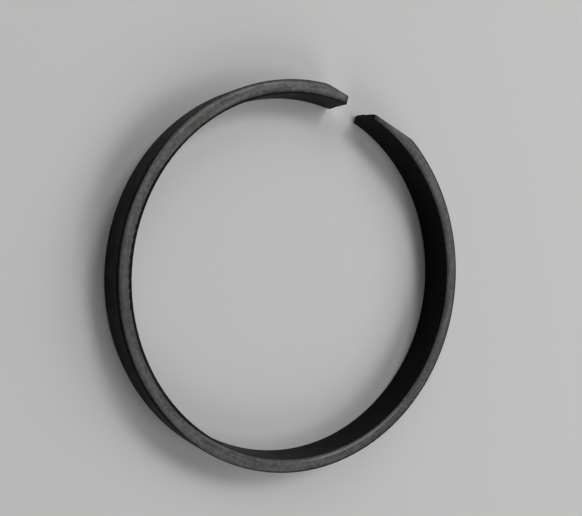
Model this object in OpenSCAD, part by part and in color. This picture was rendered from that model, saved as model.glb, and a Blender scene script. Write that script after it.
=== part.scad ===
// Snap ring for a groove inside a housing bore.
// One length of round-edged flat spring strip, coiled on its flat and cut to leave a gap.
// The outer side of both ends is ground thin, so that a pick can get behind them.
// The ring's axis is Z, z = 0 is half way up the strip, and the gap is centred on +Y.

/* [Strip] */
// Thickness of the strip, measured along the ring's radius
strip_t = 2.5; // [1.8:0.1:4]
// Height of the strip, measured along the ring's axis
strip_h = 7; // [4:0.5:14]
// Width of the soft rolled edge beside each flat face, measured along the ring's radius
edge_w = 0.85; // [0.5:0.05:0.85]
// Radius of the rolled edge where it leaves the flat face
flank_r = 1.8; // [1.2:0.1:3]
// Radius of the rolled edge where it turns into the wall
edge_r = 0.25; // [0.1:0.05:0.4]

/* [Ring] */
// Outside diameter of the ring when nothing holds it
ring_d = 70; // [50:1:120]
// Distance between the two ends, measured at the middle of the strip
gap_w = 6.4; // [3:0.1:12]

/* [Ends] */
// Length of strip whose outer side is ground away at the right end, along its upper edge
right_ground_l = 10.4; // [5:0.1:14]
// Thickness left at the right tip, at its upper edge
right_tip_t = 0.85; // [0.7:0.05:1.6]
// Length of strip whose outer side is ground away at the left end, along its upper edge
left_ground_l = 5.2; // [4:0.1:14]
// Thickness left at the left tip, at its upper edge
left_tip_t = 1.4; // [0.7:0.05:1.6]
// Lean of the ground flats from upright, which leaves the ends thicker towards the bottom
ground_lean = 6; // [0:0.5:8]
// Radius of the soft shoulder between the outer wall and a ground flat
shoulder_r = 8; // [2:1:16]
// Radius of the ends' upper and lower corners, seen from the side
end_corner_r = 0.6; // [0.3:0.05:1.2]

/* [Hidden] */
$fn = 180;
outer_r = ring_d / 2;
inner_r = outer_r - strip_t;
middle_r = outer_r - strip_t / 2;
// Angle of the gap, seen from the axis
gap_a = 2 * asin(gap_w / 2 / middle_r);
// Turn of the rolled edge's wide arc, and its whole height
flank_a = asin((edge_w - edge_r) / (flank_r - edge_r));
edge_h = flank_r - (flank_r - edge_r) * cos(flank_a);
// How far a cutting shape runs past the faces that it cuts
past = 1;
// Share that a rounding cut is wider than its round, so that it crosses the faces that it blends
cross_share = 0.0015;
// The same for the small arc of a rolled edge, as a length, and the turn by which its two cuts overlap
edge_cross = 0.0015;
meet_a = 3;

function unit(v) = v / norm(v);
function at(r, a) = r * [cos(a), sin(a)];
function arc_angle(l, r) = l / r * 180 / PI;

// What a rolled edge takes off the strip's square corner: a wide arc leaves the flat face and a small
// arc meets the wall. Both cuts run a little past the place where the arcs meet, so that they cross.
module rolled_edge() {
    flank_c = [strip_t / 2 - edge_w, strip_h / 2 - flank_r];
    corner_c = [strip_t / 2 - edge_r, strip_h / 2 - edge_h];
    round_off(flank_c, flank_r + edge_cross / 3, [0, 1], at(1, 90 - flank_a - meet_a), flank_r + past);
    round_off(corner_c, edge_r + edge_cross, at(1, 90 - flank_a + meet_a), [1, 0], edge_r + past);
}

// Outline of the strip, cut across, standing at its place beside the axis
module strip_section() {
    translate([middle_r, 0])
        difference() {
            square([strip_t, strip_h], center = true);
            for (side = [0, 1], level = [0, 1])
                mirror([side, 0])
                    mirror([0, level])
                        rolled_edge();
        }
}

// The strip coiled round the axis, from its left end to its right end
module coiled_strip() {
    rotate(90 + gap_a / 2)
        rotate_extrude(angle = 360 - gap_a)
            strip_section();
}

// What a round of radius r about c takes off between the faces that look along a and b
module round_off(c, r, a, b, reach) {
    difference() {
        polygon([c, c + a * reach, c + (a + b) * reach, c + b * reach]);
        translate(c)
            circle(r);
    }
}

// The ground flat of the right end and its shoulder, as what they take off the strip.
// The flat runs straight from the outer wall to the tip along the upper edge, and leans outwards below it.
module ground_flat(ground_l, tip_t) {
    tip_a = 90 - gap_a / 2;
    start = at(outer_r, tip_a - arc_angle(ground_l, outer_r));
    tip = at(inner_r + tip_t, tip_a);
    flat_l = norm(tip - start);
    along = (tip - start) / flat_l;
    // distance of the flat from the axis, and of its start from the nearest point to the axis
    flat_d = start.x * along.y - start.y * along.x;
    corner_run = sqrt(pow(outer_r, 2) - pow(flat_d, 2));
    // the shoulder, tangent to the outer wall and to the flat, takes up half of the flat at most
    longest_r = (pow(corner_run, 2) - pow(corner_run - ground_l / 2, 2)) / (outer_r - flat_d) / 2;
    soft_r = min(shoulder_r, longest_r);
    soft_run = sqrt(pow(outer_r - soft_r, 2) - pow(flat_d - soft_r, 2));
    soft_c = [flat_d - soft_r, -soft_run];

    // seen from above with the flat's normal along X, then leaned about its upper edge
    rotate(atan2(along.y, along.x) - 90)
        translate([flat_d, 0, strip_h / 2])
            rotate([0, -ground_lean, 0])
                translate([-flat_d, 0, -strip_h - past])
                    linear_extrude(strip_h + 2 * past) {
                        translate([flat_d, -corner_run - past])
                            square([strip_t, flat_l + 2 * past]);
                        round_off(soft_c, soft_r * (1 + cross_share), [1, 0], unit(soft_c), soft_r + strip_t);
                    }
}

// The rounding of the right end's upper and lower corners, as what it takes off the strip
module end_corners() {
    rotate(90 - gap_a / 2)
        translate([inner_r - past, 0, 0])
            rotate([90, 0, 90])
                linear_extrude(strip_t + 2 * past)
                    for (level = [-1, 1])
                        round_off(
                            [-end_corner_r, level * (strip_h / 2 - end_corner_r)],
                            end_corner_r * (1 + cross_share), [1, 0], [0, level], 2 * end_corner_r
                        );
}

module retaining_ring() {
    color([0.18, 0.18, 0.17])
        difference() {
            coiled_strip();
            ground_flat(right_ground_l, right_tip_t);
            end_corners();
            mirror([1, 0, 0]) {
                ground_flat(left_ground_l, left_tip_t);
                end_corners();
            }
        }
}

retaining_ring();
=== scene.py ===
# %% [markdown]
# # A snap ring of blackened spring strip, lying on a pale table
#
# The real object is one length of flat spring steel, rolled with round edges, coiled on its flat and
# cut so that a gap stays. It is made first as an exact solid, which gives the shape and the size. This
# lesson dresses that solid: it gives the steel its oiled black skin, adds the small burrs that the
# shears left at the two cuts, and sets up the table, the lights and the camera.
#
# We load the solid before anything else, because every later step takes its sizes from it.

# %% Load the ring and keep its box
import math

import bmesh
import bpy
from mathutils import Matrix, Vector, noise


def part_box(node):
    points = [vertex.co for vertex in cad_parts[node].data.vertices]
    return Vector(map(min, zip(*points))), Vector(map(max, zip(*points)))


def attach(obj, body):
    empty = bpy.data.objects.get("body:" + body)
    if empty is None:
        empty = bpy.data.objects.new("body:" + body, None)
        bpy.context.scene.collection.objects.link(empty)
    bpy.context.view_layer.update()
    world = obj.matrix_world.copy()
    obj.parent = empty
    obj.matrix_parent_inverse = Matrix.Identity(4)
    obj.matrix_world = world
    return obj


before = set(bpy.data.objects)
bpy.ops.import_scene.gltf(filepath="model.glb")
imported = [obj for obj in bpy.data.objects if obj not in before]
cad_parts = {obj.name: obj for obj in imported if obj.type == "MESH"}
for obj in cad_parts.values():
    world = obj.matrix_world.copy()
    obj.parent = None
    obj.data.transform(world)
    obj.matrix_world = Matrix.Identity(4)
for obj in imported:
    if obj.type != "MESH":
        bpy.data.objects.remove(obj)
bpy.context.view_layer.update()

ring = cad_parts["retaining_ring"]
# millimetres in a metre
mm = 1000.0

# %% [markdown]
# ## The sizes that the finish needs
#
# A finish that follows the strip has to know where the strip is. The ring's axis is the Z axis, so a
# point's distance from that axis tells inner wall from outer wall, and its height tells the upper edge
# from the walls. We read the outer radius and the height from the solid's box, so they stay right if
# the ring changes. A box can't tell how thick the strip is, or how wide its soft edges are, so these two
# are written down here. All sizes are in metres, as they are everywhere in Blender.

# %% Read the strip's sizes from the solid
low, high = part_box("retaining_ring")
half_h = (high[2] - low[2]) / 2
outer_r = (high[0] - low[0]) / 2
strip_t = 0.0025
edge_w = 0.00085
inner_r = outer_r - strip_t
middle_r = outer_r - strip_t / 2
print(f"outer radius {outer_r * mm:.2f} mm, half height {half_h * mm:.2f} mm")

# %% [markdown]
# ## Small helpers for the material
#
# A procedural material is a chain of small sums. Writing each sum as one line keeps the chain readable,
# so we make a little bench that adds a node, fills its inputs with numbers or with other nodes'
# outputs, and hands back its output.

# %% A bench for building materials
class Bench:
    """One material's node tree, with a line for each kind of step."""

    def __init__(self, name):
        self.material = bpy.data.materials.new(name)
        self.material.use_nodes = True
        self.nodes = self.material.node_tree.nodes
        self.links = self.material.node_tree.links
        self.nodes.clear()

    def put(self, socket, value):
        """Fills an input with another node's output or with a plain value."""
        if isinstance(value, bpy.types.NodeSocket):
            self.links.new(value, socket)
        else:
            socket.default_value = value

    def sum(self, operation, *values):
        node = self.nodes.new("ShaderNodeMath")
        node.operation = operation
        for socket, value in zip(node.inputs, values):
            self.put(socket, value)
        return node.outputs[0]

    def between(self, value, low, high, to_low=0.0, to_high=1.0):
        """Turns the range low to high into to_low to to_high, smoothly."""
        node = self.nodes.new("ShaderNodeMapRange")
        node.interpolation_type = "SMOOTHSTEP"
        limits = {"Value": value, "From Min": low, "From Max": high, "To Min": to_low, "To Max": to_high}
        for name, limit in limits.items():
            self.put(node.inputs[name], limit)
        return node.outputs["Result"]

    def join(self, x, y, z):
        node = self.nodes.new("ShaderNodeCombineXYZ")
        for socket, value in zip(node.inputs, (x, y, z)):
            self.put(socket, value)
        return node.outputs[0]

    def noise(self, vector, scale, detail, roughness, w=None):
        node = self.nodes.new("ShaderNodeTexNoise")
        node.noise_dimensions = "3D" if w is None else "4D"
        settings = {"Vector": vector, "Scale": scale, "Detail": detail, "Roughness": roughness}
        if w is not None:
            settings["W"] = w
        for name, value in settings.items():
            self.put(node.inputs[name], value)
        return node.outputs[0]

    def mix_colour(self, share, first, second):
        """Goes from the first colour to the second as the share goes from 0 to 1."""
        node = self.nodes.new("ShaderNodeMix")
        node.data_type = "RGBA"
        inputs = {socket.identifier: socket for socket in node.inputs}
        self.put(inputs["Factor_Float"], share)
        self.put(inputs["A_Color"], first)
        self.put(inputs["B_Color"], second)
        return next(socket for socket in node.outputs if socket.identifier == "Result_Color")

    def bump(self, height, distance, strength, before=None):
        node = self.nodes.new("ShaderNodeBump")
        self.put(node.inputs["Height"], height)
        self.put(node.inputs["Distance"], distance)
        self.put(node.inputs["Strength"], strength)
        if before is not None:
            self.put(node.inputs["Normal"], before)
        return node.outputs[0]

    def surface(self, settings):
        """Ends the material with a Principled shader that has these inputs."""
        shader = self.nodes.new("ShaderNodeBsdfPrincipled")
        for name, value in settings.items():
            self.put(shader.inputs[name], value)
        end = self.nodes.new("ShaderNodeOutputMaterial")
        self.put(end.inputs["Surface"], shader.outputs[0])


print("bench ready")

# %% [markdown]
# ## Where a point lies on the strip
#
# Rolling, coiling and rubbing leave marks that follow the strip, so the pattern has to bend with the
# ring. The trick is to measure every point in the ring's own way: how far it is from the axis, in which
# direction, and how deep below the nearer edge of the strip. The direction is kept as a unit pair
# instead of an angle, because an angle jumps from 180 to -180 degrees somewhere and the pattern would
# show a seam there. The patterns count in millimetres, which keeps their numbers easy to read.

# %% Ring coordinates in millimetres
def ring_coordinates(bench):
    place = bench.nodes.new("ShaderNodeTexCoord").outputs["Object"]
    in_mm = bench.nodes.new("ShaderNodeVectorMath")
    in_mm.operation = "SCALE"
    bench.put(in_mm.inputs[0], place)
    in_mm.inputs["Scale"].default_value = mm
    split = bench.nodes.new("ShaderNodeSeparateXYZ")
    bench.put(split.inputs[0], in_mm.outputs[0])
    x, y, z = split.outputs
    squares = bench.sum("ADD", bench.sum("MULTIPLY", x, x), bench.sum("MULTIPLY", y, y))
    radius = bench.sum("SQRT", squares)
    off_middle = bench.sum("SUBTRACT", radius, middle_r * mm)
    return {
        "point": in_mm.outputs[0],
        "x": x,
        "z": z,
        "radius": radius,
        "east": bench.sum("DIVIDE", x, radius),
        "north": bench.sum("DIVIDE", y, radius),
        # from the middle of the strip: outwards is above zero, and the side is 1 there and -1 inwards
        "off_middle": off_middle,
        "side": bench.sum("SIGN", off_middle),
        # below the nearer one of the strip's two edges
        "depth": bench.sum("SUBTRACT", half_h * mm, bench.sum("ABSOLUTE", z)),
    }


def facing(bench, at, azimuth):
    """How far a point of the ring lies towards an azimuth: 1 there, -1 on the opposite side."""
    turn = math.radians(azimuth)
    return bench.sum(
        "ADD",
        bench.sum("MULTIPLY", at["east"], math.cos(turn)),
        bench.sum("MULTIPLY", at["north"], math.sin(turn)),
    )


print("ring coordinates ready")

# %% [markdown]
# ## The patterns of the black skin
#
# Spring strip comes blackened and lightly oiled. Close up it is never one even black: the rolls left
# streaks along it, the black didn't take everywhere alike and shows specks about half a millimetre
# wide, the oil stands in cloudy patches, and handling left a few short bright scuffs.
#
# Pictures could be wrapped round the strip for this, but noise needs no file and no unwrapping. Noise
# that is squeezed in one direction makes streaks: its place is built from the direction pair, times a
# number that says how fine it is along the strip, and from the radius and the height.

# %% Streaks, specks, oil and scuffs
def drawn_out(bench, at, along, across, upright, detail, roughness):
    """Noise drawn out along the strip. The first three numbers say how fine it is each way."""
    place = bench.join(
        bench.sum("MULTIPLY", at["east"], along),
        bench.sum("MULTIPLY", at["north"], along),
        bench.sum("MULTIPLY", at["radius"], across),
    )
    height = bench.sum("MULTIPLY", at["z"], upright)
    return bench.noise(place, scale=1.0, detail=detail, roughness=roughness, w=height)


def skin_patterns(bench, at):
    streaks = drawn_out(bench, at, along=5.0, across=3.2, upright=2.4, detail=4.0, roughness=0.6)
    specks = bench.noise(at["point"], scale=1.5, detail=3.0, roughness=0.65)
    speck_part = bench.sum("MULTIPLY", bench.sum("SUBTRACT", specks, 0.5), 0.9)
    scuffs = drawn_out(bench, at, along=36.0, across=5.0, upright=4.0, detail=2.0, roughness=0.5)
    return {
        "streaks": streaks,
        "uneven": bench.between(bench.sum("ADD", streaks, speck_part), 0.25, 0.77),
        "oil": bench.noise(at["point"], scale=0.32, detail=3.0, roughness=0.55),
        "grain": bench.noise(at["point"], scale=3.5, detail=3.0, roughness=0.6),
        # only the rare peaks of this noise are scuffs
        "scuffs": bench.between(scuffs, 0.70, 0.76),
    }


print("patterns ready")

# %% [markdown]
# ## Where the black is rubbed off, and where light and shade are painted on
#
# The flat middle of both edges has lost some of its black, and so have the roundings beside it. On
# the roundings the depth of the bare band also paints light and shade: it reaches further down as a
# painted highlight on the outer rounding on the left and the inner one on the right, and less far as
# painted shade on the others. Towards the lower left the bare band is narrow again, with a sharp
# border, which is painted shade as well. The two tips were never rubbed, so they are still black.
#
# Blender can guess worn edges from how sharp the mesh is. Here we know the depth below the edge at
# every point, so we say directly how deep the bare band reaches, and let the bare share fade over it.

# %% The bare share, with painted light and shade
# the azimuth, in degrees, where the roundings get painted shade and the outer half a painted highlight
lower_left = 205


def painted_light_side(bench, at):
    """Up to 1 on the side given painted light, outwards on the left of the ring and inwards on its
    right; below zero on the side given painted shade.
    """
    return bench.sum("MULTIPLY", bench.sum("MULTIPLY", at["east"], -1.0), at["side"])


def bare_and_painted_light_share(bench, at):
    """1 where the steel shows through the black and 0 where the black is whole; on the roundings it also
    paints light and shade.
    """
    # the band reaches 0.13 mm down on the side given painted shade and 0.33 mm on the side given painted
    # light
    reach = bench.between(painted_light_side(bench, at), -0.6, 0.3, 0.13, 0.33)
    # towards the lower left the band is narrowed, which paints shade on the roundings there
    narrow = bench.between(facing(bench, at, lower_left), 0.58, 0.85, 1.0, 0.42)
    reach = bench.sum("MULTIPLY", reach, narrow)
    bare_and_painted_light = bench.between(bench.sum("DIVIDE", at["depth"], reach), 0.05, 1.0, 1.0, 0.0)

    # away from the gap 20 mm are added, so that only the two tips count as close to it
    elsewhere = bench.between(at["north"], 0.2, 0.4, 20.0, 0.0)
    from_gap = bench.sum("ADD", bench.sum("ABSOLUTE", at["x"]), elsewhere)
    return bench.sum("MULTIPLY", bare_and_painted_light, bench.between(from_gap, 2.8, 4.6, 0.3, 1.0))


print("bare share ready, lower left at", lower_left, "degrees")

# %% [markdown]
# ## The painted highlight line
#
# Where the flat middle turns into the rounding, a thin bright line is painted on as a highlight, and
# the steel is a little glossier there. It is strong on the inner edge at one place, faint along the left
# half of the outer edge, and broken up by the streaks.
#
# The line could be painted on the mesh by hand. But it keeps the same distance from the middle of the
# strip all round, so two ranges of that distance, one rising and one falling, draw it at once.

# %% A line along the border of flat and rounding
# the azimuth, in degrees, where the painted highlight on the inner edge is brightest
brightest_place = -50


def polish_and_painted_highlight_share(bench, at, streaks):
    flat_edge = (strip_t / 2 - edge_w) * mm
    across = bench.sum("ABSOLUTE", at["off_middle"])
    # it starts just past the flat middle, and is gone half a millimetre further out
    line = bench.sum(
        "MULTIPLY",
        bench.between(across, flat_edge + 0.06, flat_edge + 0.20),
        bench.between(across, flat_edge + 0.30, flat_edge + 0.55, 1.0, 0.0),
    )
    line = bench.sum("MULTIPLY", line, bench.between(at["depth"], 0.12, 0.22, 1.0, 0.0))
    broken = bench.between(streaks, 0.35, 0.6, 0.55, 1.0)

    # the painted highlight is strong on the inner edge near that azimuth and faint on the outer edge on
    # the side given painted light
    inner_edge = bench.between(facing(bench, at, brightest_place), 0.90, 0.99)
    outer_edge = bench.between(painted_light_side(bench, at), 0.2, 0.5, 0.0, 0.2)
    strength = bench.between(at["side"], -0.5, 0.5, inner_edge, outer_edge)
    return bench.sum("MULTIPLY", bench.sum("MULTIPLY", line, broken), strength)


print("polished line ready, brightest at", brightest_place, "degrees")

# %% [markdown]
# ## The colour of the steel
#
# The black skin reflects almost nothing, and the bare steel is a dark grey with some black left in its
# pores. Both vary with the streaks and specks. We mix from the black upwards: bare steel where it is
# rubbed and where the bare share paints light on the roundings, a lighter grey as a painted highlight
# on the outer half of the edge at the lower left, then the painted highlight line, and the scuffs on
# top. Scuffs show on the black too, but only a quarter as much.
#
# One colour ramp could hold all these greys, but a ramp follows a single pattern. In layers, each kind
# of wear and each painted highlight keeps a mask of its own and can be changed without touching the
# others.

# %% Mix the colours
def grey(level, blue):
    """A grey whose blue is a little lower, so that it leans towards yellow as oiled steel does."""
    return (level, level, blue, 1)


def steel_colour(bench, at, pattern, bare_and_painted_light, polish_and_painted_highlight):
    uneven = pattern["uneven"]
    black = bench.mix_colour(uneven, grey(0.0030, 0.0029), grey(0.0070, 0.0068))
    steel = bench.mix_colour(uneven, grey(0.042, 0.040), grey(0.092, 0.088))
    painted_highlight_steel = bench.mix_colour(uneven, grey(0.10, 0.096), grey(0.16, 0.154))

    # the outer half of the edge towards the lower left gets the lighter grey as a painted highlight
    outer_half = bench.between(at["off_middle"], -0.7, 0.8)
    at_lower_left = bench.between(facing(bench, at, lower_left), 0.5, 0.85, 0.0, 0.42)
    steel = bench.mix_colour(bench.sum("MULTIPLY", outer_half, at_lower_left), steel, painted_highlight_steel)

    # steel where it is rubbed, and where the share paints light on the roundings
    colour = bench.mix_colour(bare_and_painted_light, black, steel)
    # the line's light grey is a painted highlight
    colour = bench.mix_colour(polish_and_painted_highlight, colour, grey(0.15, 0.145))
    weight = bench.sum("ADD", bench.sum("MULTIPLY", bare_and_painted_light, 0.75), 0.25)
    scuffs = bench.sum("MULTIPLY", pattern["scuffs"], weight)
    return bench.mix_colour(scuffs, colour, grey(0.16, 0.155))


print("colours ready")

# %% [markdown]
# ## Put the steel together
#
# The oiled black has a soft gloss, and the bare steel reflects as a metal does. A shader for each could
# be mixed, but the Principled shader holds both: it gets the colour, a metallic share where the steel
# is bare, and a satin roughness that the oil and the streaks vary a little.
#
# Two bumps follow each other, the streaks and a fine grain. Both are a few hundredths of a millimetre
# high: the light catches on them, but no outline changes, so the mesh needn't be cut any finer. The
# solid's own shape is right, so it stays as it is and only its material is exchanged.

# %% The blackened steel
def blackened_steel():
    bench = Bench("oiled black spring steel")
    at = ring_coordinates(bench)
    pattern = skin_patterns(bench, at)
    bare_and_painted_light = bare_and_painted_light_share(bench, at)
    polish_and_painted_highlight = polish_and_painted_highlight_share(bench, at, pattern["streaks"])

    oily = bench.between(pattern["oil"], 0.3, 0.7, 0.44, 0.52)
    satin = bench.sum("ADD", oily, bench.between(pattern["streaks"], 0.3, 0.7, -0.03, 0.03))
    satin = bench.sum("SUBTRACT", satin, bench.sum("MULTIPLY", polish_and_painted_highlight, 0.10))
    relief = bench.bump(pattern["streaks"], distance=0.00006, strength=0.35)
    relief = bench.bump(pattern["grain"], distance=0.00003, strength=0.35, before=relief)

    bench.surface({
        "Base Color": steel_colour(bench, at, pattern, bare_and_painted_light, polish_and_painted_highlight),
        "Metallic": bench.sum("MULTIPLY", bare_and_painted_light, 0.8),
        "Roughness": satin,
        "Normal": relief,
        "IOR": 1.5,
        "Specular IOR Level": 0.04,
    })
    return bench.material


black_steel = blackened_steel()
for slot in ring.material_slots:
    slot.material = black_steel
print("steel on", len(ring.material_slots), "slots of the ring")
print("nodes in the steel:", len(black_steel.node_tree.nodes))

# %% [markdown]
# ## Put things into the scene
#
# In Blender an object says where a thing is, and its data says what it is: a mesh, a lamp or a camera.
# It shows only once it is linked to a collection of the scene. Blender's add operators do all of this
# at once, but they depend on what is selected, so we make the two and link them ourselves.

# %% Two helpers for new objects
def add_object(name, data):
    thing = bpy.data.objects.new(name, data)
    bpy.context.scene.collection.objects.link(thing)
    return thing


def add_smooth_mesh(name, bm):
    """Ends the work on a bmesh and shows it as a smooth object."""
    mesh = bpy.data.meshes.new(name)
    bm.to_mesh(mesh)
    bm.free()
    mesh.shade_smooth()
    return add_object(name, mesh)


print("helpers for objects ready")

# %% [markdown]
# ## Burrs at the two cuts
#
# Shears don't leave a clean edge: a thin ragged ridge of steel stands up where the blade came through.
# On this ring one runs up the outer edge of the right end, with a lump at a third of its height, and a
# short one sits low on the inner edge of the left end.
#
# Each could be modelled by pulling points about by hand. It is quicker to start from a cube, cut it
# into many short lengths, and let a list of lumps say how thick it is at each height. The inner half of
# the ridge stays sunk in the strip, so it grows out of the edge without a seam. The cube's three
# directions stay right-handed on the way, so its faces still point outwards, and a volume above zero
# proves it.

# %% Raise a ragged ridge along an edge
burr_lengths = 41


def thickness(share, lumps, seed):
    """How thick a burr is at a share of its length. A lump is its place, its width and its size."""
    ragged = 0.25 * noise.noise(Vector((share * 23.0, seed, 0.0)))
    lumpy = sum(size * math.exp(-(((share - place) / width) ** 2)) for place, width, size in lumps)
    tapered = min(1.0, 6 * share + 0.1, 6 * (1 - share) + 0.1)
    return max(0.30 + ragged + lumpy, 0.08) * tapered


def burr(name, foot, head, outwards, proud, lumps, seed):
    along = head - foot
    across = along.cross(outwards).normalized()
    bm = bmesh.new()
    bmesh.ops.create_cube(bm, size=1.0)
    upright = [e for e in bm.edges if abs(e.verts[0].co.z - e.verts[1].co.z) > 0.5]
    bmesh.ops.subdivide_edges(bm, edges=upright, cuts=burr_lengths - 1)
    for vert in bm.verts:
        share = round((vert.co.z + 0.5) * burr_lengths) / burr_lengths
        thick = thickness(share, lumps, seed)
        sway = 0.2 * noise.noise(Vector((share * 9.0, seed, 5.0)))
        # the cube is one unit wide, so its outer face ends up proud of the edge and its inner one sunk
        vert.co = (
            foot + along * share
            + outwards.normalized() * (2 * proud * thick * vert.co.x)
            + across * (1.2 * proud * thick * (vert.co.y + sway))
        )
    volume = bm.calc_volume(signed=True)
    ridge = add_smooth_mesh(name, bm)
    rounding = ridge.modifiers.new("rounding", "SUBSURF")
    rounding.levels = rounding.render_levels = 1
    ridge.data.materials.append(black_steel)
    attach(ridge, "root")
    print(name, "length:", round(along.length * mm, 2), "mm, volume:", round(volume * mm ** 3, 4), "mm3")


print("a burr is cut into", burr_lengths, "lengths")

# %% [markdown]
# ## Find the two cut faces
#
# The strip is cut straight across, so each cut face lies in a plane through the ring's axis. The mesh
# could be searched for these faces, but it is simpler to work them out from the width of the gap: a
# point on a cut face is then given by its radius and its height.

# %% A point on a cut face
gap_w = 0.0064
gap_half_turn = math.asin(gap_w / 2 / middle_r)
right_end, left_end = 1, -1


def on_end(end, radius, height):
    """A point on the cut face of an end."""
    turn = math.pi / 2 - end * gap_half_turn
    return Vector((radius * math.cos(turn), radius * math.sin(turn), height))


print("half of the gap:", round(math.degrees(gap_half_turn), 2), "degrees")

# %% [markdown]
# ## The burr of the right end
#
# This end was ground thin on its outer side, and the ground face leans outwards from its upper edge
# down. The burr stands on the edge between that face and the cut, so it starts further out at the foot
# than at the head. A straight ridge between two points on the edge follows the lean by itself.

# %% The burr of the right end
right_tip_t = 0.00085
ground_lean = math.radians(6)
burr_reach = 0.0029


def right_edge(height):
    """The outer edge of the right cut face, at a height."""
    radius = inner_r + right_tip_t + math.tan(ground_lean) * (half_h - height)
    return on_end(right_end, radius, height)


burr(
    "right_end_burr",
    foot=right_edge(-burr_reach),
    head=right_edge(burr_reach),
    outwards=on_end(right_end, 1, 0) * 0.6 + Vector((-1.0, 0.1, 0)),
    proud=0.00013,
    lumps=[(0.08, 0.05, 0.5), (0.37, 0.09, 0.9), (0.75, 0.05, 0.2), (0.97, 0.05, 0.6)],
    seed=2.3,
)

# %% [markdown]
# ## The burr of the left end
#
# Here only a short ridge is left, low on the inner edge. The inner wall stands upright, so the same
# radius holds for the foot and for the head. The first burr could be copied and shortened, but the same
# helper with fewer lumps and another seed gives one that doesn't look alike.

# %% The burr of the left end
left_foot, left_head = -0.0030, -0.0008
burr(
    "left_end_burr",
    foot=on_end(left_end, inner_r, left_foot),
    head=on_end(left_end, inner_r, left_head),
    outwards=on_end(left_end, -1, 0) + Vector((0.6, 0.0, 0)),
    proud=0.00012,
    lumps=[(0.2, 0.12, 0.7), (0.6, 0.1, 0.4)],
    seed=7.1,
)

# %% [markdown]
# ## The table
#
# A plain pale sheet under the ring catches its shadow. Seen from low down a flat sheet would end in a
# dark horizon, so the sheet curves up all round, as the paper of a photo studio does.
#
# A plane could be bent up on four sides, but its corners would show. So the outline is drawn once, from
# the middle outwards, and spun round the ring's axis, which looks the same from every side. The sheet
# lies a hair below the ring, so that the two don't share a surface.

# %% Lay the table
def table_outline(bm, flat_r, rise, bends=12):
    """Points from the middle outwards, and up a quarter circle, joined by edges."""
    places = [(0, 0), (0.9 * flat_r, 0), (flat_r, 0)]
    for bend in range(1, bends + 1):
        turn = math.radians(90 * bend / bends)
        places.append((flat_r + rise * math.sin(turn), rise * (1 - math.cos(turn))))
    points = [bm.verts.new((radius, 0, height)) for radius, height in places]
    return points + [bm.edges.new(pair) for pair in zip(points, points[1:])]


def number_by_points(bm):
    """Puts edges and faces in the order of their points, because spin leaves them in no fixed order."""
    bm.verts.index_update()
    for parts in (bm.edges, bm.faces):
        in_order = sorted(parts, key=lambda part: sorted(vert.index for vert in part.verts))
        for index, part in enumerate(in_order):
            part.index = index
        parts.sort()


def table_top(flat_r, rise, sectors=96, hair=0.00002):
    bm = bmesh.new()
    bmesh.ops.spin(
        bm, geom=table_outline(bm, flat_r, rise), cent=(0, 0, 0), axis=(0, 0, 1),
        angle=2 * math.pi, steps=sectors, use_merge=True,
    )
    bmesh.ops.remove_doubles(bm, verts=bm.verts, dist=1e-6)
    bmesh.ops.translate(bm, verts=bm.verts, vec=(0, 0, low[2] - hair))
    number_by_points(bm)
    return add_smooth_mesh("table_top", bm)


table = table_top(flat_r=0.65, rise=0.25)
steepest = math.degrees(math.acos(min(face.normal.z for face in table.data.polygons)))
print("table:", len(table.data.polygons), "faces, the steepest at", round(steepest), "degrees")

# %% [markdown]
# ## Paint the table
#
# The sheet is a matt pale grey. It could carry a paper's grain, but under so small a ring any grain
# would be taken for dirt, and the shadow is all that the sheet has to show. So it is one plain colour,
# rough enough that no lamp is mirrored in it.

# %% A matt pale paint
paint = Bench("pale table")
paint.surface({"Base Color": (0.56, 0.565, 0.555, 1), "Roughness": 0.9, "Specular IOR Level": 0.2})
table.data.materials.append(paint.material)
print("table painted:", paint.material.name)

# %% [markdown]
# ## The light
#
# The shadows are soft and dark close to the strip, inside the ring as well as outside it, and they are
# deepest on the side that faces the eye. Such shadows come from windows and not from one lamp: broad
# light from the far side and from the right, and little from behind the viewer. Five round soft boxes
# stand for the windows, two high and small, three low and wide.
#
# A soft box is given by where it stands, how wide it looks from the ring, and how much light it lays
# on the table. The power follows from those, so that widening a box doesn't brighten the picture.

# %% Set up the soft boxes
lamp_distance = 1.2


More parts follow.
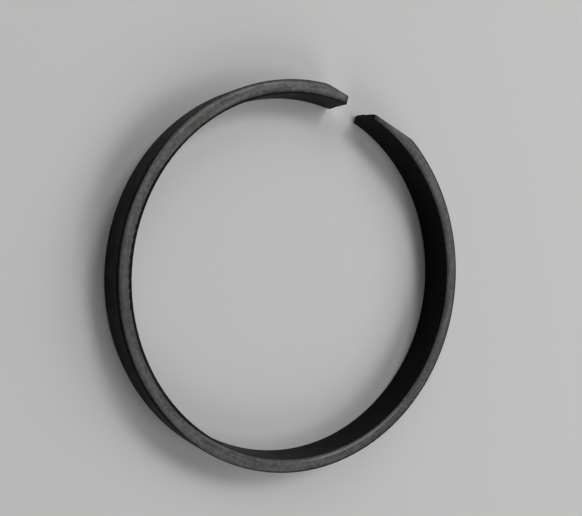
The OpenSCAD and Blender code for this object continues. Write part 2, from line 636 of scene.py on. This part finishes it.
def soft_box(name, azimuth, elevation, half_width, brightness):
    turn, lift = math.radians(azimuth), math.radians(elevation)
    towards = Vector((math.cos(lift) * math.cos(turn), math.cos(lift) * math.sin(turn), math.sin(lift)))
    data = bpy.data.lights.new(name, "AREA")
    data.shape = "DISK"
    data.size = 2 * lamp_distance * math.tan(math.radians(half_width))
    data.energy = brightness * math.pi ** 2 * lamp_distance ** 2 / math.sin(lift)
    lamp = add_object(name, data)
    aim = towards.to_track_quat("Z", "Y").to_matrix().to_4x4()
    lamp.matrix_world = Matrix.Translation(towards * lamp_distance) @ aim
    print(name, "power:", round(data.energy, 2), "W")


soft_box("high_far_window", azimuth=75, elevation=57, half_width=10, brightness=0.25)
soft_box("high_right_window", azimuth=345, elevation=57, half_width=10, brightness=0.13)
soft_box("low_far_window", azimuth=118, elevation=36, half_width=18, brightness=0.13)
soft_box("low_right_window", azimuth=32, elevation=38, half_width=18, brightness=0.19)
soft_box("low_near_window", azimuth=306, elevation=33, half_width=18, brightness=0.16)

# %% [markdown]
# ## The dim room
#
# The walls of a room send some light back from all sides, and without it the shadows would be pitch
# black. The walls could be built, but for one small object a dim, even world does the same. The colours
# are shown as they are computed, so that the black of the steel stays black.

# %% An even, dim world
world = bpy.data.worlds.new("dim room")
world.use_nodes = True
room = world.node_tree.nodes["Background"]
room.inputs["Color"].default_value = (1, 1, 1, 1)
room.inputs["Strength"].default_value = 0.06
bpy.context.scene.world = world
bpy.context.scene.view_settings.view_transform = "Standard"
print("room light:", round(room.inputs["Strength"].default_value, 3))

# %% [markdown]
# ## The camera
#
# The ring is seen from close by, steeply from above and from its left, with the gap at the top of the
# picture. A camera can be turned by three angles, but they depend on each other and are hard to judge.
# The directions below are the camera's right, up and back, and go straight into the columns of its
# matrix. The back is worked out from the other two, and then the up once more, which makes the three
# exactly square to each other.

# %% Place the camera
right = Vector((0.80890, 0.30347, 0.50358)).normalized()
up = Vector((-0.33485, 0.94180, -0.02968))
back = right.cross(up).normalized()
up = back.cross(right)
eye = Vector((-0.07107, -0.01792, 0.12232))

camera_data = bpy.data.cameras.new("camera")
camera_data.sensor_width = 36.0
camera_data.lens = 48.35
camera = add_object("camera", camera_data)
camera.matrix_world = Matrix.Translation(eye) @ Matrix((right, up, back)).transposed().to_4x4()
bpy.context.scene.camera = camera
print("camera looks", round(math.degrees(math.asin(back.z)), 1), "degrees down")
